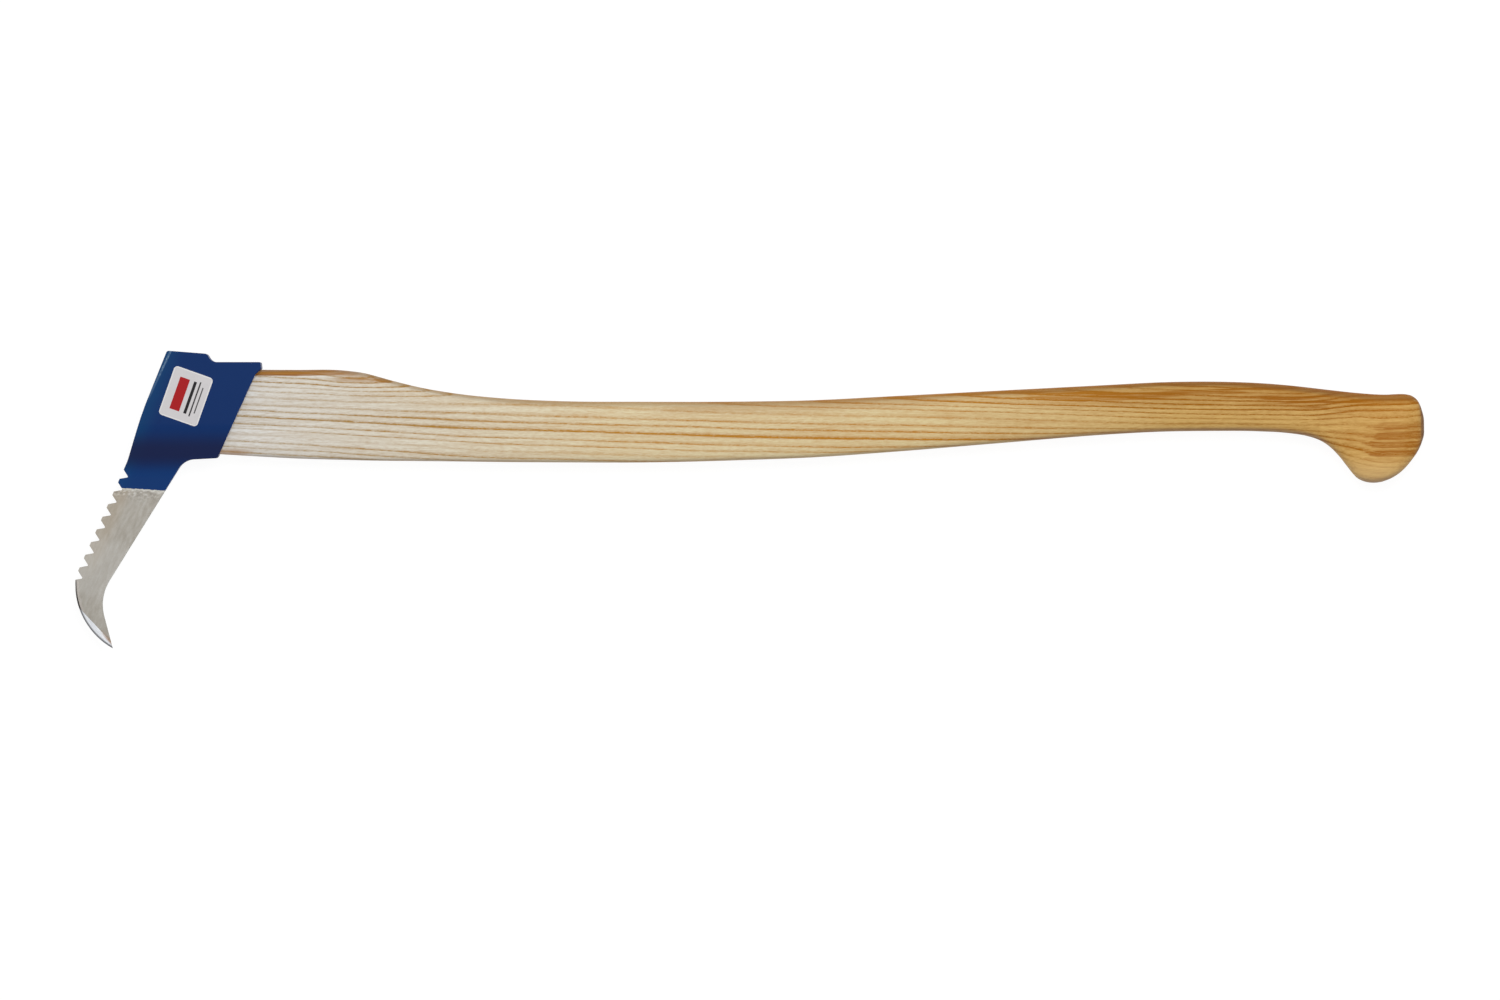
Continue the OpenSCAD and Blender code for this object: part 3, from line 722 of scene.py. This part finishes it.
def is_corner(edge):
    """Whether an edge is one that the dies round. Corners that stand upright stay as drawn."""
    run = (edge.verts[1].co - edge.verts[0].co).normalized()
    return (len(edge.link_faces) == 2 and edge.calc_face_angle() >= radians(ROUNDED_FROM)
            and abs(run.z) <= 0.8)


def edge_width(edge):
    """How wide an edge of the forging is rounded."""
    if not is_corner(edge):
        return 0
    middle = (edge.verts[0].co / MM + edge.verts[1].co / MM) / 2
    between_cheeks = abs(middle.z - MIDDLE) < MIDDLE - EYE_EDGES_IN
    on_cheek = any(abs(face.normal.z) > 0.5 for face in edge.link_faces)
    if between_cheeks and EYE_EDGES[0] < middle.y < EYE_EDGES[1] and not on_cheek:
        return EYE_EDGE
    out = hypot(middle.x - HOOK_CENTRE[0], middle.y - HOOK_CENTRE[1])
    if middle.y < PAINT_END[1] and out > HOOK_RADIUS - 0.5:
        return BACK_EDGE
    down_neck = min(max((NECK_FROM - middle.y) / (NECK_FROM - NECK_TO), 0), 1)
    return COLLAR_EDGE + (BLADE_EDGE - COLLAR_EDGE) * down_neck


def forged_head():
    """The forging, whose edges are rounded by the dies and the coat."""
    piece, shape = merged_copy("head", "forged_head")
    bmesh.ops.dissolve_limit(shape, angle_limit=radians(0.6), verts=shape.verts, edges=shape.edges,
                             use_dissolve_boundaries=False, delimit=set())
    widths = shape.edges.layers.float.new("bevel_weight_edge")
    for edge in shape.edges:
        edge[widths] = edge_width(edge) / WIDEST_EDGE
    dress(piece, shape, head_finish(), "head")
    rounding = piece.modifiers.new("rounded_edges", "BEVEL")
    rounding.width = WIDEST_EDGE * MM
    rounding.limit_method = "WEIGHT"
    rounding.segments = 3
    rounding.profile = 0.5
    rounding.use_clamp_overlap = True
    level = piece.modifiers.new("even_normals", "WEIGHTED_NORMAL")
    level.keep_sharp = True


# The handle is sanded from just behind the collar, and its butt's edge is eased
SANDED_FROM = 70
BUTT_EDGE = 4


def sand_round(shape):
    """Parts the handle's sanded faces and swells them between their corners. The butt stays flat."""
    def sanded(part):
        return all(vert.co.x > SANDED_FROM * MM for vert in part.verts)

    butt = max(vert.co.x for vert in shape.verts)
    on_butt = [face for face in shape.faces if sanded(face) and face.normal.x > 0.999]
    end = bmesh.ops.dissolve_faces(shape, faces=on_butt)["region"][0]
    bmesh.ops.bevel(shape, geom=end.edges[:], offset=BUTT_EDGE * MM, offset_type="OFFSET",
                    segments=3, profile=0.5, affect="EDGES", clamp_overlap=True, material=-1)
    triangles = [face for face in shape.faces if sanded(face) and len(face.verts) == 3]
    bmesh.ops.join_triangles(shape, faces=triangles, angle_face_threshold=radians(30),
                             angle_shape_threshold=radians(100))
    edges = [edge for edge in shape.edges if sanded(edge)]
    bmesh.ops.subdivide_edges(shape, edges=edges, cuts=2, smooth=1.0, smooth_falloff="LINEAR",
                              use_grid_fill=True)
    for vert in shape.verts:
        vert.co.x = min(vert.co.x, butt)


def ash_handle():
    """The handle, sanded round from just behind the collar to the butt."""
    piece, shape = merged_copy("handle", "ash_handle")
    sand_round(shape)
    dress(piece, shape, ash_finish("oiled_ash"), "handle")


def finish_node(node, finish):
    """Gives a CAD node that keeps its shape its own finish."""
    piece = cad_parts[node]
    piece.data.materials.clear()
    piece.data.materials.append(finish)


# The picture's width and middle, in metres, from its size in pixels and the pixel of the eye's middle
PIXEL = 0.78 * MM
PICTURE = (1500, 1000)
EYE_PIXEL = (192, 412)
PICTURE_WIDTH = PICTURE[0] * PIXEL
PICTURE_CENTRE = ((PICTURE[0] / 2 - EYE_PIXEL[0]) * PIXEL, (EYE_PIXEL[1] - PICTURE[1] / 2) * PIXEL)

# The camera looks straight down, from far enough for a picture almost without perspective
LENS = 400
SENSOR = 36
SIGHT = 100


def camera():
    height = PICTURE_WIDTH * LENS / SENSOR
    data = bpy.data.cameras.new("camera")
    data.lens = LENS
    data.sensor_width = SENSOR
    data.clip_end = SIGHT
    made = bpy.data.objects.new("camera", data)
    made.location = (*PICTURE_CENTRE, height + MIDDLE * MM)
    bpy.context.scene.collection.objects.link(made)
    bpy.context.scene.camera = made


# The floor: its size in metres, how far it lies under the tool, and the light that it gives and takes
FLOOR_RADIUS = 60
FLOOR_BELOW = 0.2
FLOOR_GLOW = 0.925
FLOOR_SHADE = 0.14
FLOOR_LIT = (0.8, 0.78)


def floor_finish():
    """Seen by the camera it is white with a faint shadow, and it throws light back like pale paper."""
    f = Finish("white_floor")
    pale = f.mix(f.noise(60, 3.0), *(grey(light) for light in FLOOR_LIT))
    lit = f.node("ShaderNodeBsdfDiffuse", {}, {"Color": pale}).outputs[0]
    faint = f.node("ShaderNodeBsdfDiffuse", {}, {"Color": grey(FLOOR_SHADE)}).outputs[0]
    glow = f.node("ShaderNodeEmission", {}, {"Color": grey(1), "Strength": FLOOR_GLOW}).outputs[0]
    seen = f.node("ShaderNodeAddShader", {}, {0: faint, 1: glow}).outputs[0]
    look = f.node("ShaderNodeMixShader", {}, {0: f.sees_background(), 1: lit, 2: seen})
    return f.done(look.outputs[0])


def white_floor():
    """A wide pale floor that looks white and still shows the tool's soft shadow."""
    shape = bmesh.new()
    bmesh.ops.create_circle(shape, cap_ends=True, segments=64, radius=FLOOR_RADIUS)
    bmesh.ops.translate(shape, verts=shape.verts, vec=(0, 0, -FLOOR_BELOW * MM))
    mesh = bpy.data.meshes.new("floor")
    shape.to_mesh(mesh)
    shape.free()
    mesh.materials.append(floor_finish())
    floor = bpy.data.objects.new("floor", mesh)
    bpy.context.scene.collection.objects.link(floor)


# Light: a soft key from beyond the tool's top edge, in a tent that is dimmer overhead
FILL = 0.34
TENT_OVERHEAD = 0.55
TENT_SIDES = 1.0


def light_tent():
    """The surroundings: white to the camera, a tent to reflections, and a dim fill for what they light."""
    world = bpy.data.worlds.new("light_tent")
    bpy.context.scene.world = world
    n = Nodes(world)
    up = n.parts(n.node("ShaderNodeTexCoord").outputs["Generated"])[2]
    tent = TENT_SIDES + n.rise(up, 0.45, 0.95) * (TENT_OVERHEAD - TENT_SIDES)
    camera_ray = n.number(n.node("ShaderNodeLightPath").outputs["Is Camera Ray"])
    seen = n.sees_background()
    strength = camera_ray + (1 - camera_ray) * (seen * tent + (1 - seen) * FILL)
    background = n.node("ShaderNodeBackground", {}, {"Color": grey(1), "Strength": strength})
    n.node("ShaderNodeOutputWorld", {}, {"Surface": background.outputs[0]})


def soft_light(name, side, tilt, distance, size, level):
    """A square lamp that faces the tool's middle and lights a level surface there to about level."""
    data = bpy.data.lights.new(name, "AREA")
    data.size = size
    data.energy = level * pi * pi * distance ** 2 / cos(radians(tilt))
    lamp = bpy.data.objects.new(name, data)
    across, up = heading(side)
    away = Vector((across * sin(radians(tilt)), up * sin(radians(tilt)), cos(radians(tilt))))
    lamp.location = Vector((*PICTURE_CENTRE, 0)) + away * distance
    lamp.rotation_euler = away.to_track_quat("Z", "Y").to_euler()
    bpy.context.scene.collection.objects.link(lamp)


camera()
light_tent()
soft_light("key", side=75, tilt=22, distance=4, size=1.8, level=0.5)
soft_light("fill", side=250, tilt=30, distance=4, size=2.4, level=0.1)
white_floor()

forged_head()
ash_handle()
finish_node("wood_wedge", ash_finish("wedge_ash", darker=0.7))
finish_node("ring_wedge", wedge_steel_finish())
finish_node("label", label_finish())

bpy.context.scene.view_settings.view_transform = "Standard"
